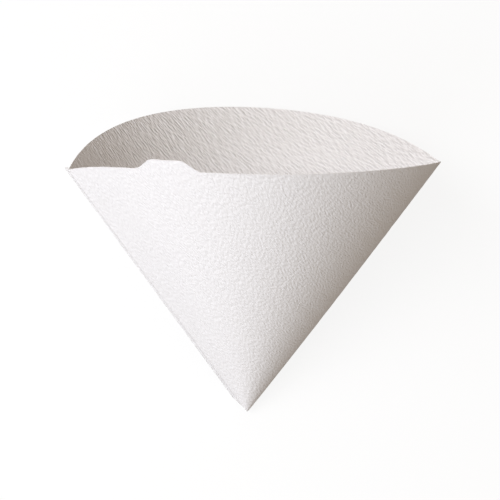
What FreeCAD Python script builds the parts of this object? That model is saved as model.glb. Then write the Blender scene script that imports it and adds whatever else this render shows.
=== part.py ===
"""Cone coffee filter: one creped sheet folded in two, its open edges crimped into a seam flap."""
import FreeCAD, Part
import math
import os

# Driving dimensions, in millimetres and degrees

# The folded blank: two flat sectors that share the fold
crease_length = 117.0
sector_angle = 90.0
paper = 0.25
rim_shift = 0.9          # the rim's arc is struck this far from the tip, towards the fold

# How far the cone has been opened, and where each panel bends most on its way from seam to fold
crease_angle = 71.7      # between the two creases
front_bend = (0.30, -0.75, 0.40)
back_bend = (-0.40, -1.25, -0.60)

# The tab on the front rim, which the fingers take hold of
tab_angle = 22.4         # in the flat sheet, from the seam to the middle of the tab
tab_height = 4.25
tab_base = 21.5
tab_top = 11.0
tab_round = 3.0

# The seam: both plies pressed together, with a band of cross ridges crimped into them
flap_width = 5.5
flap_lean_angle = 11.0   # how far the flap stands out from straight back, about the seam
flap_foot_inner = 2.5    # where the flap starts above the tip, at its root
flap_foot_outer = 5.5    # and at its free edge
crimp_root_margin = 1.4
crimp_edge_margin = 0.5
crimp_pitch = 1.5
crimp_height = 0.22
sunk_ply = 0.4           # how deep the inner ply starts in the back panel, as a share of the paper

# The paper is pressed solid in the very point of the cone
tip_length = 0.8
tip_overlap = 0.3

# Where the back rim of the lying filter touches the ground, as an angle in the flat sheet from
# the seam, and how far on the rim is followed for its run there
rest_angle = 47.5
rest_angle_step = 1.0

# Each panel is bent in strips, each of them a true circular cone that carries on the last. How
# strongly is found by halving the range between flat and most_bend.
strips = 18
most_bend = 4.0
bend_fineness = 1e-12
crease_trim = 2.0 * paper  # how far the cut that mitres a panel reaches from its crease
slack = 10.0             # how far any other shape that cuts runs past what it cuts

tip = FreeCAD.Vector(0, 0, 0)
reach = crease_length + tab_height + slack
strip_angle = math.radians(sector_angle) / strips


def bend_rate(law, place):
    """Bend at a place from -1 at the seam to +1 at the fold, about a mean of one."""
    tilt, bow, skew = law
    return (1.0 + tilt * place + bow * (3.0 * place ** 2 - 1.0) / 2.0
            + skew * (5.0 * place ** 3 - 3.0 * place) / 2.0)


def bend_axis(along, across, bend):
    """The axis of a strip's cone, long in proportion to how far the strip turns about it."""
    return along.cross(across) + along * bend


def roll_out(law, strength):
    """Bend a flat sector strip by strip; give each ruling, its crosswise direction and bend.

    The rulings all leave the tip, evenly spaced in the flat sheet, so the sheet is bent and
    never stretched."""
    along = FreeCAD.Vector(0, 0, 1)
    across = FreeCAD.Vector(1, 0, 0)
    rows = []
    for i in range(strips):
        bend = strength * bend_rate(law, (2.0 * i + 1.0) / strips - 1.0)
        rows.append((along, across, bend))
        axis = bend_axis(along, across, bend)
        turn = FreeCAD.Rotation(axis, math.degrees(axis.Length * strip_angle))
        along, across = turn.multVec(along), turn.multVec(across)
    rows.append((along, across, 0.0))
    return rows


def opened_panel(law, side):
    """A panel bent until its two creases stand crease_angle apart, in the cone's own frame.

    The tip is the origin, +Z halves the creases, +X runs from seam to fold and +Y to the back.
    side is +1 for the front panel, which bends away from the back, and -1 for the back one."""
    low, high = 0.0, most_bend
    while high - low > bend_fineness:
        strength = (low + high) / 2.0
        rows = roll_out(law, side * strength)
        if math.degrees(rows[0][0].getAngle(rows[-1][0])) > crease_angle:
            low = strength
        else:
            high = strength
    to_fold = (rows[-1][0] - rows[0][0]).normalize()
    upward = (rows[-1][0] + rows[0][0]).normalize()
    to_back = upward.cross(to_fold)

    def in_cone_frame(v):
        return FreeCAD.Vector(v.dot(to_fold), v.dot(to_back), v.dot(upward))

    return [(in_cone_frame(along), in_cone_frame(across), bend) for along, across, bend in rows]


front = opened_panel(front_bend, 1)
back = opened_panel(back_bend, -1)
seam_line = front[0][0]
rim_centre = FreeCAD.Vector(rim_shift, 0, 0)


def ruling_at(panel, station):
    """A ruling at any flat angle from the seam, with its crosswise direction."""
    before = min(int(math.radians(station) / strip_angle), strips - 1)
    along, across, bend = panel[before]
    axis = bend_axis(along, across, bend)
    rest = math.radians(station) - before * strip_angle
    turn = FreeCAD.Rotation(axis, math.degrees(axis.Length * rest))
    return turn.multVec(along), turn.multVec(across)


def rim_point(along):
    """Where a ruling meets the rim, at mid-paper."""
    lead = along.dot(rim_centre)
    return along * (lead + math.sqrt(crease_length ** 2 - rim_shift ** 2 + lead ** 2))


def rim_ball():
    """The ball that trims the rim, its own poles and seam turned away from the paper."""
    ball = Part.makeSphere(crease_length)
    ball.rotate(tip, FreeCAD.Vector(0, 1, 0), 90)
    ball.translate(rim_centre)
    return ball


def slab(corners, thickness):
    """A flat plate: its lower face given by corners, its thickness by a vector."""
    return Part.Face(Part.makePolygon(corners + corners[:1])).extrude(thickness)


def paper_section(along, across):
    """The sheet's section along a ruling, from the point to past the rim."""
    normal = along.cross(across)
    return [along * up + normal * off for up, off in (
        (tip_length, -paper / 2.0), (reach, -paper / 2.0),
        (reach, paper / 2.0), (tip_length, paper / 2.0))]


def bent_strip(along, across, bend):
    """One strip of a panel: the sheet's section turned about the axis of the strip's cone."""
    section = paper_section(along, across)
    axis = bend_axis(along, across, bend)
    face = Part.Face(Part.makePolygon(section + section[:1]))
    return face.revolve(tip, axis, math.degrees(axis.Length * strip_angle))


def mitre(end):
    """Where the outer faces of the two panels meet beside a crease, seen from the crease."""
    one = front[end][1].cross(front[end][0])
    other = back[end][0].cross(back[end][1])
    return (one + other) * (paper / 2.0 / (1.0 + one.dot(other)))


def bent_panel(rows):
    """A whole panel: its strips, with the sheet run on past each crease and cut on the mitre."""
    solid = bent_strip(*rows[0]).fuse([bent_strip(*row) for row in rows[1:-1]])
    for end, past in ((0, -1), (-1, 1)):
        along, across, _ = rows[end]
        solid = solid.fuse(slab(paper_section(along, across), across * (past * paper)))
        beyond = along.cross(mitre(end)).normalize() * crease_trim
        if beyond.dot(across) * past < 0:
            beyond = beyond * -1
        side = mitre(end).normalize() * crease_trim
        corners = [along * up + side * off for up, off in ((0, -1), (reach + slack, -1),
                                                          (reach + slack, 1), (0, 1))]
        solid = solid.cut(slab(corners, beyond))
    return solid


def point():
    """The paper pressed together in the point of the cone."""
    rows = front[:-1] + back[:0:-1]
    ring = [row[0] * ((tip_length + tip_overlap) / row[0].z) for row in rows]
    return Part.makeLoft([Part.Vertex(tip), Part.makePolygon(ring + ring[:1])], True, True)


def tab_blank():
    """A block with the tab's outline, square to the front panel where the tab stands.

    Its shoulders are arcs of tab_round that carry the flat top on into the sloping sides."""
    along, across = ruling_at(front, tab_angle)
    rim = rim_point(along)
    outward = across.cross(along)
    run = (tab_base - tab_top) / 2.0
    slope = math.atan2(tab_height, run)
    arc_out = tab_top / 2.0 - tab_round * math.tan(slope / 2.0)
    arc_up = tab_height - tab_round

    def place(out, up):
        return rim + across * out + along * up - outward * slack

    def shoulder(side):
        return [place(side * (arc_out + tab_round * math.sin(turn)), arc_up + tab_round * math.cos(turn))
                for turn in (slope, slope / 2.0, 0.0)]

    foot_out = tab_base / 2.0 + slack
    foot_up = -slack * tab_height / run
    left, right = shoulder(-1), shoulder(1)
    sides = Part.makePolygon([left[0], place(-foot_out, foot_up), place(foot_out, foot_up), right[0]])
    top = Part.makePolygon([left[-1], right[-1]])
    outline = sides.Edges + [Part.Arc(*right).toShape()] + top.Edges + [Part.Arc(*left).toShape()]
    return Part.Face(Part.Wire(Part.__sortEdges__(outline))).extrude(outward * (2.0 * slack))


def flap_frame():
    """The flap's crosswise direction and its normal, which points to the back panel."""
    straight_back = FreeCAD.Vector(0, 1, 0)
    outward = seam_line.cross(straight_back)
    lean = math.radians(flap_lean_angle)
    across = straight_back * math.cos(lean) + outward * math.sin(lean)
    return across, across.cross(seam_line)


def flap():
    """Both plies of the seam: flat at the root and the edge, ridged between, foot cut askew.

    The outer ply carries on the front panel past the seam line. The inner one starts in the
    thickness of the back panel and lies against it."""
    across, normal = flap_frame()
    past_rim = crease_length + slack

    def place(up, out, off):
        return seam_line * up + across * out + normal * off

    def strip(inner, outer, low, high):
        outline = [(0, inner), (0, outer), (past_rim, outer), (past_rim, inner)]
        return slab([place(up, out, low) for up, out in outline], normal * (high - low))

    outer_face = mitre(0).dot(normal)
    middle = outer_face + paper
    inner_face = middle + paper
    back_across = back[0][1]
    parting = math.atan2(back_across.dot(normal), back_across.dot(across))
    inner_start = (inner_face * math.cos(parting) - sunk_ply * paper) / math.sin(parting)
    band_inner = crimp_root_margin
    band_outer = flap_width - crimp_edge_margin
    outer_ply = strip(0, band_inner, outer_face, middle)
    inner_ply = strip(inner_start, band_inner, middle, inner_face)
    edge = strip(band_outer, flap_width, outer_face, inner_face)

    crests = [(i * crimp_pitch / 2.0, crimp_height * (-1) ** i)
              for i in range(int(2.0 * past_rim / crimp_pitch) + 1)]
    outline = [place(up, band_inner, middle + wave - paper) for up, wave in crests]
    outline += [place(up, band_inner, middle + wave + paper) for up, wave in reversed(crests)]
    band = slab(outline, across * (band_outer - band_inner))

    blank = [(flap_foot_inner, 0), (flap_foot_outer, flap_width), (past_rim, flap_width), (past_rim, 0)]
    trim = slab([place(up, out, -slack) for up, out in blank], normal * (2.0 * slack))
    return outer_ply.fuse([inner_ply, band, edge]).common(trim)


def at_rest(shape):
    """Lay the filter on its back panel: on the flap's lowest corner and the back rim.

    +Z is up, +X follows the creases from seam to fold, and the origin is on the ground under the
    middle of the filter."""
    across, normal = flap_frame()
    foot = seam_line * flap_foot_outer + across * flap_width + normal * mitre(0).dot(normal)
    along, sideways = ruling_at(back, rest_angle)
    touch = rim_point(along) + along.cross(sideways) * (paper / 2.0)
    later = ruling_at(back, rest_angle + rest_angle_step)[0]
    rim_run = rim_point(later) - rim_point(along)
    up = rim_run.cross(touch - foot).normalize()
    to_fold = FreeCAD.Vector(1, 0, 0)
    right = (to_fold - up * to_fold.dot(up)).normalize()
    away = up.cross(right)
    laid = shape.copy()
    laid.Placement = FreeCAD.Placement(FreeCAD.Matrix(
        right.x, right.y, right.z, 0, away.x, away.y, away.z, 0, up.x, up.y, up.z, 0, 0, 0, 0, 1))
    box = laid.optimalBoundingBox(False)
    laid.translate(FreeCAD.Vector(-box.Center.x, -box.Center.y, -box.ZMin))
    return laid


ball = rim_ball()
front_panel = bent_panel(front).common(ball.fuse(tab_blank()))
back_panel = bent_panel(back).common(ball).fuse(point())
back_and_seam = back_panel.fuse(flap().common(ball))
filter_paper = at_rest(back_and_seam.fuse(front_panel))

print("solids", len(filter_paper.Solids), "valid", filter_paper.isValid(), "volume", filter_paper.Volume)
os.makedirs("parts", exist_ok=True)
filter_paper.Solids[0].exportStep("parts/filter_paper.step")
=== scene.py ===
import math

import bmesh
import bpy
import numpy as np
from mathutils import Matrix, Vector


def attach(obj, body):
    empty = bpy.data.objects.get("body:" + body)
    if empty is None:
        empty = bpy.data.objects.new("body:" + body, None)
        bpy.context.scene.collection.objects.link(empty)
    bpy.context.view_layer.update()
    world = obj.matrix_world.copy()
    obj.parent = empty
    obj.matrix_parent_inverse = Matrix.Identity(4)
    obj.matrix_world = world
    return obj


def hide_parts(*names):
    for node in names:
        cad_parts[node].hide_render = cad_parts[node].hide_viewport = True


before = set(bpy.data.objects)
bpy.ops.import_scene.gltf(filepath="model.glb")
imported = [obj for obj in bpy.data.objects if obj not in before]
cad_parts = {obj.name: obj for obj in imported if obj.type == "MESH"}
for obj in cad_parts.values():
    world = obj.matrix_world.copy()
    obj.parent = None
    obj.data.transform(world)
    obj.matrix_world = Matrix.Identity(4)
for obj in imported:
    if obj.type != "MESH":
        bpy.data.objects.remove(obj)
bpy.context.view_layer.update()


# The filter is one sheet of creped filter paper, die-cut as two quarter discs side by side with a
# tab on one rim, then folded in two. Opening it into a cone bends both quarters and stretches
# neither. All sizes of the sheet are in millimetres.

crease_length = 117.0
rim_shift = 0.9           # the rim's arc is struck this far from the tip, towards the fold
paper = 0.25
tip_length = 0.8          # the paper has its full thickness from this far above the tip
inner_tip = 0.1           # where its inner faces meet, above the tip
crease_spread = 71.7      # degrees between the two creases of the opened cone
front_bend = (0.30, -0.75, 0.40)
back_bend = (-0.40, -1.25, -0.60)
most_bend = 4.0
bend_fineness = 1e-6
rulings = 181

tab_station = 22.4        # degrees in the flat sheet, from the seam to the middle of the tab
tab_height = 4.25
tab_base = 21.5
tab_runs = (5.25, 4.3)    # how far each side slopes in, the seam side first
tab_blend = 1.3           # the height over which its shoulders and feet are rounded
tab_root = 3.0            # how far its sides are carried on past its feet, under the arc

fold_bow = 0.55           # how far the fold stands out, most at two fifths of its length
fold_draw = (0.35, 0.40)  # how far its rim end is drawn in, square to it and along it
fold_reach = 55.0         # degrees in the flat sheet over which both fade away from the fold

fine_waves = (0.012, 2.6, 9.0)    # the creping's height, and its size across and along
soft_waves = (0.02, 9.0, 24.0)
calm_margin = 4.0                 # the waves fade away this near to the creases

columns = 236
rows = 78
row_crowding = 0.2        # rows are that share closer at the fold than on average
first_column = 0.3        # a narrow column along the seam
first_row = 0.0026        # and a narrow row along the fold, as a share of the way to the rim


def unit(v):
    """A vector, or each of a row of vectors, cut to length one."""
    return v / np.linalg.norm(v, axis=-1, keepdims=True)


def roll_out(law, strength):
    """The direction of each ruling and of the paper beside it, for a quarter disc as it is bent.

    From one ruling to the next both turn about the axis along x across + bend * along, by the
    flat angle between the rulings. The bend is strength * (1 + tilt * u + bow * (3u^2 - 1) / 2
    + skew * (5u^3 - 3u) / 2), with u from -1 at the seam to +1 at the fold."""
    tilt, bow, skew = law
    along, across = Vector((0, 0, 1)), Vector((1, 0, 0))
    made = [(along, across)]
    for u in np.linspace(-1, 1, 2 * rulings - 1)[1::2]:
        bend = strength * (1 + tilt * u + bow * (3 * u * u - 1) / 2
                           + skew * (5 * u ** 3 - 3 * u) / 2)
        axis = along.cross(across) + along * float(bend)
        turn = Matrix.Rotation(axis.length * math.pi / 2 / (rulings - 1), 3, axis)
        along, across = turn @ along, turn @ across
        made.append((along, across))
    return np.array(made)


def opened_quarter(law, side):
    """Rulings (along, outward normal) of a quarter, bent until its creases stand apart as said.

    The bend's strength is found by halving the range between flat and most_bend. The tip is the
    origin, +Z halves the creases, +X runs from seam to fold and +Y to the back. side is +1 for
    the front quarter and -1 for the back."""
    low, high = 0.0, most_bend
    while high - low > bend_fineness:
        strength = (low + high) / 2
        made = roll_out(law, side * strength)
        if made[0, 0] @ made[-1, 0] > math.cos(math.radians(crease_spread)):
            high = strength
        else:
            low = strength
    to_fold = unit(made[-1, 0] - made[0, 0])
    upward = unit(made[-1, 0] + made[0, 0])
    turned = made @ np.stack([to_fold, np.cross(upward, to_fold), upward], axis=1)
    along, across = turned[:, 0], turned[:, 1]
    return along, np.cross(across, along) * side


front = opened_quarter(front_bend, 1)
back = opened_quarter(back_bend, -1)


def read_off(values, station):
    """Values held ruling by ruling, read off at flat angles from the seam in radians."""
    at = np.linspace(0, math.pi / 2, rulings)
    return np.stack([np.interp(station, at, values[:, i]) for i in range(3)], axis=-1)


def rim_distance(along):
    """How far along a ruling the rim is: where it meets a ball struck round the shifted centre."""
    lead = along[..., 0] * rim_shift
    return lead + np.sqrt(crease_length ** 2 - rim_shift ** 2 + lead ** 2)


def rim_height(quarter, out, has_tab):
    """Distance of the rim from the fold, at each distance out from the seam, in the flat sheet.

    The tab is the lower of its flat top and its sloping sides, laid on the arc square to its own
    ruling. The rim is the higher of that and the arc. Where two of these lines come closer than
    tab_blend, by g, the rim moves off both by g^2 / (4 * tab_blend), which rounds the corner."""
    station = np.linspace(0, math.pi / 2, 4000)
    distance = rim_distance(read_off(quarter[0], station))
    height = np.interp(out, distance * np.sin(station), distance * np.cos(station))
    if not has_tab:
        return height
    middle = math.radians(tab_station)
    foot = np.interp(middle, station, distance)
    half = tab_base / 2
    beside = np.linspace(-half - tab_root, half + tab_root, 400)
    side = tab_height * np.minimum((half + beside) / tab_runs[0], (half - beside) / tab_runs[1])
    overlap = np.maximum(tab_blend - np.abs(side - tab_height), 0)
    above = np.minimum(side, tab_height) - overlap ** 2 / (4 * tab_blend)
    tab_out = (foot + above) * math.sin(middle) + beside * math.cos(middle)
    tab_up = (foot + above) * math.cos(middle) - beside * math.sin(middle)
    tab = np.interp(out, tab_out, tab_up, left=0, right=0)
    overlap = np.maximum(tab_blend - np.abs(tab - height), 0)
    return np.maximum(height, tab) + overlap ** 2 / (4 * tab_blend)


def ripple(x, y, pitch, length, seed, waves=70):
    """Random ridges of unit spread: a sum of cosine waves whose crests run along y.

    pitch and length are the usual size of a ridge across and along it. Each wave has 1 / pitch
    waves a millimetre across, give or take a third, and none along, give or take 0.5 / length."""
    draw = np.random.default_rng(seed)
    across = draw.normal(1.0, 0.33, waves) / pitch
    slant = draw.normal(0.0, 0.5, waves) / length
    phase = draw.uniform(0, 2 * math.pi, waves)
    total = np.zeros_like(x)
    for f, g, p in zip(across, slant, phase):
        total += np.cos(2 * math.pi * (f * x + g * y) + p)
    return total * math.sqrt(2 / waves)


def creping(x, y):
    """How far the paper stands off its smooth form: fine waves on soft ones."""
    fine = fine_waves[0] * ripple(x, y, *fine_waves[1:], seed=1)
    return fine + soft_waves[0] * ripple(x, y, *soft_waves[1:], seed=2)


def set_fold(middle, fold, distance, station):
    """Bows the grid's fold, and draws its rim end in, by moving the points in their place.

    With t from 0 at the tip to 1 at the rim, the fold moves out, square to itself, by
    fold_bow * sin(pi * t^0.75) - fold_draw[0] * t^2, and back along itself by
    fold_draw[1] * t^4. Both fade with the square of how near a point is to the fold."""
    near_fold = np.clip(1 - (math.pi / 2 - station) / math.radians(fold_reach), 0, 1) ** 2
    t = np.minimum(distance / crease_length, 1)
    bow = near_fold * (fold_bow * np.sin(math.pi * t ** 0.75) - fold_draw[0] * t ** 2)
    middle += bow[..., None] * np.array([fold[2], 0, -fold[0]])
    middle -= (near_fold * fold_draw[1] * t ** 4)[..., None] * fold


def quarter_grid(quarter, has_tab, side):
    """Outer and inner face of one quarter as grids of points, with their places in the blank.

    Columns keep one distance out from the seam and rows one share of the way from the fold to
    the rim, so the columns run with the creping. A point is distance * ruling, plus the outward
    normal times half the paper and the creping. Along the creases the faces of both quarters
    meet in a mitre. side is +1 for the front and -1 for the back."""
    widest = rim_distance(quarter[0][-1])
    t = np.linspace(0, 1, columns)
    out = np.insert(widest * (t + np.sin(t * math.pi / 2)) / 2, 1, first_column)
    t = np.linspace(0, 1, rows)
    share = np.insert((1 - row_crowding) * t + row_crowding * t ** 2, 1, first_row)
    x = np.repeat(out[:, None], len(share), axis=1)
    y = rim_height(quarter, out, has_tab)[:, None] * share[None, :]
    y[-1] = 0                       # the last column is the fold's rim end alone
    distance, station = np.hypot(x, y), np.arctan2(x, y)
    station[0, 0] = math.pi / 4     # the tip is on every ruling, and takes the middle one
    middle = distance[..., None] * read_off(quarter[0], station)
    normal = unit(read_off(quarter[1], station))
    wall = paper / 2 * np.minimum(distance / tip_length, 1)
    half = normal * wall[..., None]
    for edge, end in (((0, slice(None)), 0), ((slice(None), 0), -1)):
        both = front[1][end] + back[1][end]
        half[edge] = both * 2 / (both @ both) * wall[edge][:, None]
    free = np.minimum(np.minimum(x, y) / calm_margin, 1)
    middle += normal * (creping(x, side * y) * free)[..., None]
    set_fold(middle, quarter[0][-1], distance, station)
    return middle + half, middle - half, np.stack([x, side * y], axis=-1)


def grid_faces(shape, start, flip=False):
    """Corners of the faces between neighbours in a grid of points numbered from start."""
    index = start + np.arange(shape[0] * shape[1]).reshape(shape)
    faces = np.stack([index[:-1, :-1], index[1:, :-1], index[1:, 1:], index[:-1, 1:]], axis=-1)
    return faces.reshape(-1, 4)[:, ::-1 if flip else 1]


points, places, faces, paper_side = [], [], [], []


def add_grid(at, place, flip=False, inside=False):
    """Adds a grid of points with its faces and its places in the blank to the sheet."""
    start = sum(len(p) for p in points)
    points.append(at.reshape(-1, 3))
    places.append(place.reshape(-1, 2))
    faces.append(grid_faces(at.shape[:2], start, flip))
    paper_side.append(np.full(len(faces[-1]), inside))


for quarter, has_tab, side in ((front, True, 1), (back, False, -1)):
    outer, inner, place = quarter_grid(quarter, has_tab, side)
    inner[0, 0] = (0, 0, inner_tip)
    add_grid(outer, place, side > 0)
    add_grid(inner, place, side < 0, inside=True)
    add_grid(np.stack([outer[:, -1], inner[:, -1]]), np.stack([place[:, -1]] * 2), side > 0)


# The seam: past the front's edge both plies of the sheet are pressed together, flat at the root
# and along the free edge, with cross ridges crimped into the band between. Nothing else holds the
# filter shut. The flap stands out from straight back, and twists a little on its way to the rim.

flap_width = 5.5
flap_lean = (13.0, 8.0)       # degrees from straight back, at the tip and at the rim
flap_foot = (2.5, 5.5)        # where it starts above the tip, at its root and at its free edge
flap_drop = 0.4               # how much its free edge falls short at the rim
edge_groove = 0.35            # how deep the two plies' cut edges part
crimp_band = (1.4, 5.0)       # between these distances out from the root
crimp_ramp = (0.5, 0.4)       # over which the crimps rise from the flat at each side of the band
crimp_pitch = 1.5
crimp_height = 0.18
crimp_wander = 0.05           # how far in radians their phase strays from one row to the next
flap_rows = 400

seam_line = front[0][0]
normal_sum = front[1][0] + back[1][0]
outer_corner = normal_sum * paper / (normal_sum @ normal_sum)
straight_back = np.array([0, 1, 0])
outward = np.cross(seam_line, straight_back)


def flap_ways(lean):
    """The directions across the flap and square to it, where it leans that far in radians."""
    across = np.cos(lean) * straight_back + np.sin(lean) * outward
    return across, np.cross(across, seam_line)


# The flap's section runs out along one ply, into the groove and back along the other. Its points
# lie closer where the crimps rise and fall.
ply_out = np.array([0.05, 0.5, 1.0, 1.3, 1.6, 2.1, 2.6, 3.2, 3.8, 4.3, 4.8, 5.1, 5.35, 5.5])
half = len(ply_out)
section_out = np.concatenate([ply_out, [flap_width - edge_groove], ply_out[::-1]])
section_off = np.concatenate([np.zeros(half), [paper], np.full(half, 2 * paper)])

share = np.linspace(0, 1, flap_rows)[:, None]
foot = flap_foot[0] + (flap_foot[1] - flap_foot[0]) * section_out / flap_width
top = rim_distance(seam_line) - flap_drop * (section_out / flap_width) ** 2
up = foot + (top - foot) * share
lean = np.radians(flap_lean[0] + (flap_lean[1] - flap_lean[0]) * up / crease_length)
flap_across, flap_normal = flap_ways(lean[..., None])
in_band = (np.clip((section_out - crimp_band[0]) / crimp_ramp[0], 0, 1)
           * np.clip((crimp_band[1] - section_out) / crimp_ramp[1], 0, 1))
draw = np.random.default_rng(7)
wander = np.cumsum(draw.normal(0, crimp_wander, flap_rows))[:, None]
crimp = crimp_height * np.sin(2 * math.pi * up / crimp_pitch + wander) * in_band
off = section_off + crimp + (outer_corner @ flap_normal[0, 0])
flap = (seam_line * up[..., None] + flap_across * section_out[:, None]
        + flap_normal * off[..., None])
add_grid(flap, np.stack([-section_out + 0 * up, up], axis=-1))
for end in (0, -1):
    cap = np.stack([flap[end, :half], flap[end, ::-1][:half]])
    cap_place = np.stack([-ply_out, up[end, :half]], axis=-1)
    add_grid(cap, np.stack([cap_place] * 2), end == 0)


# The empty filter can't stand on its tip, so it lies on its back quarter: on the back rim, and on
# the lowest corner of the flap. The ground is at z = 0. The finished sheet is laid down that way.

rest_station = math.radians(47.5)     # where the back rim touches the ground, in the flat sheet
rest_step = math.radians(1.0)         # how far on the rim is followed for its run there
rest_lean = math.radians(11.0)        # the flap's lean at its corner, as the CAD has it
tip_place = np.array([-3.01, -58.49, 2.91])
mm = 0.001


def back_rim(station):
    """The middle of the back rim's edge, at a flat angle from the seam."""
    along = read_off(back[0], station)
    return along * rim_distance(along)


touch = back_rim(rest_station) + read_off(back[1], rest_station) * paper / 2
rim_run = back_rim(rest_station + rest_step) - back_rim(rest_station)
plain_across, plain_normal = flap_ways(rest_lean)
flap_corner = (seam_line * flap_foot[1] + plain_across * flap_width
               + plain_normal * (outer_corner @ plain_normal))
upright = unit(np.cross(rim_run, touch - flap_corner))
right = unit(np.array([1, 0, 0]) - upright * upright[0])
laid = np.stack([right, np.cross(upright, right), upright])

at = np.concatenate(points) @ laid.T + tip_place
mesh = bpy.data.meshes.new("creped_sheet")
corners = np.concatenate(faces)
mesh.from_pydata((at * mm).tolist(), [], corners.tolist())
blank_map = mesh.uv_layers.new(name="flat_blank")
blank = np.concatenate(places)[corners.ravel()] * mm
blank_map.uv.foreach_set("vector", blank.astype(np.float32).ravel())
mesh.polygons.foreach_set("material_index", np.concatenate(paper_side).astype(np.int32))

worked = bmesh.new()
worked.from_mesh(mesh)
bmesh.ops.remove_doubles(worked, verts=worked.verts, dist=2e-6)
bmesh.ops.dissolve_degenerate(worked, edges=worked.edges, dist=1e-7)
worked.to_mesh(mesh)
worked.free()
mesh.shade_smooth()
mesh.set_sharp_from_angle(angle=math.radians(38))

sheet = bpy.data.objects.new("creped_sheet", mesh)
bpy.context.collection.objects.link(sheet)
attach(sheet, "root")
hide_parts("filter_paper")


# Bleached filter paper is creped by scraping the wet web off a steel roller, so that all its ridges
# run one way. The side that lay on the roller, outside here, is fine and grainy; the other has long
# lens-shaped ridges. To the eye it is rough and without gloss, streaked light and dark: partly by
# the bumps of its ridges, and partly by painted shade, a darker white painted on each ridge's seam
# side.

def srgb(code):
    """A hex colour turned to linear."""
    values = [int(code[i:i + 2], 16) / 255 for i in (0, 2, 4)]
    return [v / 12.92 if v <= 0.04045 else ((v + 0.055) / 1.055) ** 2.4 for v in values] + [1.0]


def add_node(tree, kind, inputs=None, **settings):
    """A node of that kind with its settings. An input is given a value, or the socket it reads."""
    node = tree.nodes.new("ShaderNode" + kind)
    for name, value in settings.items():
        setattr(node, name, value)
    for name, value in (inputs or {}).items():
        if isinstance(value, bpy.types.NodeSocket):
            tree.links.new(value, node.inputs[name])
        else:
            node.inputs[name].default_value = value
    return node


def new_material(name):
    """A material with an empty tree, its name being what it is and how it was made."""
    made = bpy.data.materials.new(name)
    made.use_nodes = True
    made.node_tree.nodes.clear()
    return made, made.node_tree


def creped_paper(name, pitch, length, height, fleck_height, shaded_and_lit_whites):
    """Creped paper whose ridges have that pitch, length and height, in millimetres.

    Noise stretched along the ridges makes them, and finer noise the fibres. How far a point stands
    above the next one away from the seam, a little under half a pitch on, mixes the two whites, so
    the first, darker one lies on the side of each ridge that faces the seam: that is painted shade,
    standing in for the ridge's own shade on that side. Fibres are finer than one pixel in a render
    and are drawn as coarse as they need to show."""
    steep = 0.22                    # the noise's fall, either way, that gives a white unmixed
    made, tree = new_material(name)
    blank_place = add_node(tree, "UVMap", uv_map="flat_blank").outputs["UV"]

    def felt(pitch, length, detail, cells_on=0.0):
        """Noise over the blank, two cells of which make a ridge, read some cells further on."""
        at = add_node(tree, "Mapping", {
            "Vector": blank_place, "Scale": (2 / (pitch * mm), 2 / (length * mm), 1),
            "Location": (cells_on, 0, 0)}).outputs[0]
        return add_node(tree, "TexNoise", {"Vector": at, "Scale": 1.0, "Detail": detail}).outputs[0]

    crests = felt(pitch, length, 0.8)
    fibres = felt(0.6, 0.9, 2.0)
    ridges = add_node(tree, "Bump", {"Height": crests, "Strength": 1.0, "Distance": height * mm})
    flecks = add_node(tree, "Bump", {"Height": fibres, "Strength": 1.0,
                                     "Distance": fleck_height * mm, "Normal": ridges.outputs[0]})
    # Painted shade: the darker white is painted on the side of each ridge that faces the seam,
    # where that side would lie in its own shade.
    fall = add_node(tree, "Math", {0: crests, 1: felt(pitch, length, 0.8, cells_on=0.8)},
                    operation="SUBTRACT")
    share = add_node(tree, "MapRange", {"Value": fall.outputs[0], "From Min": -steep,
                                        "From Max": steep})
    painted_ridge_shade = add_node(tree, "Mix", {0: share.outputs[0], 6: srgb(shaded_and_lit_whites[0]), 7: srgb(shaded_and_lit_whites[1])},
                    data_type="RGBA")
    surface = add_node(tree, "BsdfPrincipled", {
        "Base Color": painted_ridge_shade.outputs[2], "Roughness": 0.92, "Specular IOR Level": 0.2,
        "Normal": flecks.outputs[0]})
    add_node(tree, "OutputMaterial", {"Surface": surface.outputs[0]})
    return made


# In each pair the first, darker white is painted shade on the ridges' seam sides, and the second is
# the paper's own white.
outside = creped_paper("bleached_paper_roller_side", 1.15, 3.0, 0.35, 0.05, ("F1F0F1", "F5F4F5"))
inside = creped_paper("bleached_paper_ridged_side", 1.25, 5.5, 0.55, 0.08, ("E5E4E5", "FCFBFC"))
mesh.materials.append(outside)
mesh.materials.append(inside)


# The studio: a broad white sweep of paper, two big soft lamps high at the left, and a weak warm
# fill from all round. The camera sees the sweep and the backdrop near white, with the shadow on
# it, while the filter gets only what a matt grey sweep throws back.

sweep_reach = 6.0
glow_share = 0.86

floor_mesh = bpy.data.meshes.new("floor")
floor_corners = [(-1, -1, 0), (1, -1, 0), (1, 1, 0), (-1, 1, 0)]
floor_mesh.from_pydata((np.array(floor_corners) * sweep_reach).tolist(), [], [(0, 1, 2, 3)])
floor = bpy.data.objects.new("floor", floor_mesh)
bpy.context.collection.objects.link(floor)
floor_material, tree = new_material("white_paper_sweep")
seen = add_node(tree, "LightPath").outputs["Is Camera Ray"]
matt = add_node(tree, "BsdfDiffuse", {"Color": srgb("B4B2B0")})
white = add_node(tree, "BsdfDiffuse", {"Color": srgb("FCFCFC")})
glow = add_node(tree, "Emission", {"Color": (1, 1, 1, 1), "Strength": 1.0})
shown = add_node(tree, "MixShader", {0: glow_share, 1: white.outputs[0], 2: glow.outputs[0]})
sweep = add_node(tree, "MixShader", {0: seen, 1: matt.outputs[0], 2: shown.outputs[0]})
add_node(tree, "OutputMaterial", {"Surface": sweep.outputs[0]})
floor_mesh.materials.append(floor_material)

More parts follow.
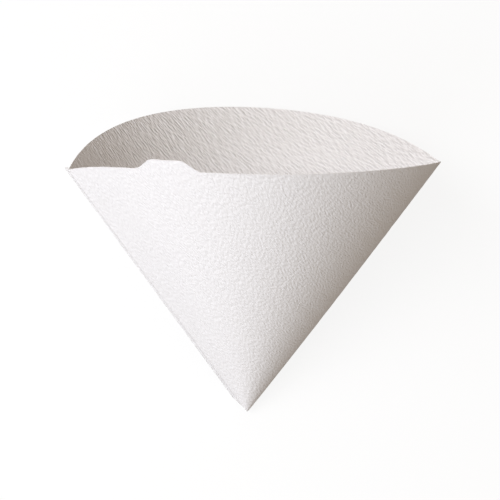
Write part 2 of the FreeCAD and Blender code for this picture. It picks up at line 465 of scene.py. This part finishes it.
world = bpy.data.worlds.new("studio")
bpy.context.scene.world = world
world.use_nodes = True
tree = world.node_tree
tree.nodes.clear()
seen = add_node(tree, "LightPath").outputs["Is Camera Ray"]
fill = add_node(tree, "Background", {"Color": srgb("FFE9CE"), "Strength": 0.32})
backdrop = add_node(tree, "Background", {"Color": (1, 1, 1, 1), "Strength": 1.0})
both = add_node(tree, "MixShader", {0: seen, 1: fill.outputs[0], 2: backdrop.outputs[0]})
add_node(tree, "OutputWorld", {"Surface": both.outputs[0]})

filter_middle = Vector((0, 0, 0.045))


def lamp(name, place, size, power, colour):
    """A square area lamp that faces the middle of the filter."""
    light = bpy.data.lights.new(name, "AREA")
    light.shape = "SQUARE"
    light.size = size
    light.energy = power
    light.color = srgb(colour)[:3]
    made = bpy.data.objects.new(name, light)
    made.location = place
    made.rotation_euler = (filter_middle - Vector(place)).to_track_quat("-Z", "Y").to_euler()
    bpy.context.collection.objects.link(made)


lamp("high_left", (-0.62, 0.16, 0.80), 0.55, 7.4, "F8FAFF")
lamp("low_left", (-0.55, -0.50, 0.72), 0.55, 4.1, "EAF3FF")


# The camera looks down on the lying filter, from above its tip and a little to the left, which
# shows it upright. Its axes are those of the photo's view of the cone, in the cone's own frame.
# Its place is so many millimetres to its right, up and back from the tip.

view_right = np.array([0.962, -0.267, 0.052])
view_up = np.array([0.033, 0.302, 0.953])
view_back = np.array([-0.270, -0.915, 0.299])
from_tip = (1.009, 60.37, 524.53)
lens = 101.0
sensor_width = 36.0

place = tip_place + laid @ (from_tip[0] * view_right + from_tip[1] * view_up
                            + from_tip[2] * view_back)
backward = Vector(unit(laid @ view_back))
rightward = Vector(laid @ view_right)
rightward = (rightward - backward * rightward.dot(backward)).normalized()
turn = Matrix((rightward, backward.cross(rightward), backward)).transposed()

camera_data = bpy.data.cameras.new("camera")
camera_data.sensor_width = sensor_width
camera_data.lens = lens
camera = bpy.data.objects.new("camera", camera_data)
camera.matrix_world = Matrix.Translation(Vector(place * mm)) @ turn.to_4x4()
bpy.context.collection.objects.link(camera)
bpy.context.scene.camera = camera
bpy.context.scene.view_settings.view_transform = "Standard"
